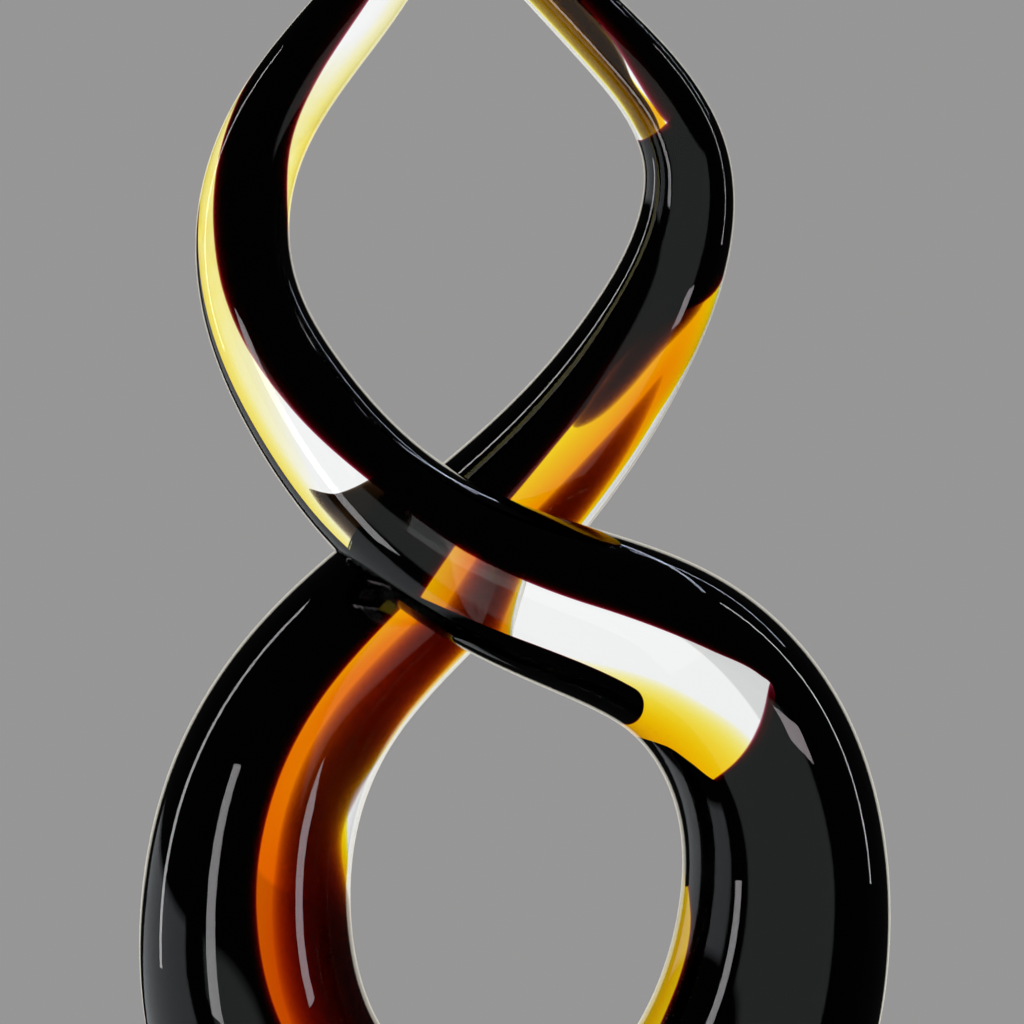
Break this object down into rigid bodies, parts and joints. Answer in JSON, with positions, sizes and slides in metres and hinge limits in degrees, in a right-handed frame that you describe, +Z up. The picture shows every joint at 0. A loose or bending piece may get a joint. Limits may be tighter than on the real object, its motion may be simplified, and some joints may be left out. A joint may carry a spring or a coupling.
{
  "type": "glass sculpture",
  "caption": "Free-standing twisted figure-eight loop of solid glass, with dark and amber glass drawn out inside clear glass, ground flat below to stand on a shelf or table.",
  "frame": {"origin": "middle of the underside, on the surface that the sculpture stands on", "axes": "+X to the viewer's right, +Y away from the viewer, +Z up"},
  "size_m": [0.1874, 0.08, 0.3533],
  "materials": {
    "clear_glass": "fire polished, clear",
    "amethyst_black_glass": "fire polished, nearly opaque dark amethyst, magenta where thin",
    "amber_glass": "fire polished, transparent amber, red-brown where thick",
    "pale_amber_glass": "fire polished, transparent pale amber",
    "clear_soft_plastic": "soft, clear, slightly cloudy"
  },
  "bodies": {
    "root": {"clear_casing": "clear_glass", "clear_core": "clear_glass", "dark_ribbon": "amethyst_black_glass", "dark_thread": "amethyst_black_glass", "amber_core": "amber_glass", "amber_veil": "pale_amber_glass", "bumper_1": "clear_soft_plastic", "bumper_2": "clear_soft_plastic", "bumper_3": "clear_soft_plastic", "bumper_4": "clear_soft_plastic"}
  },
  "joints": []
}
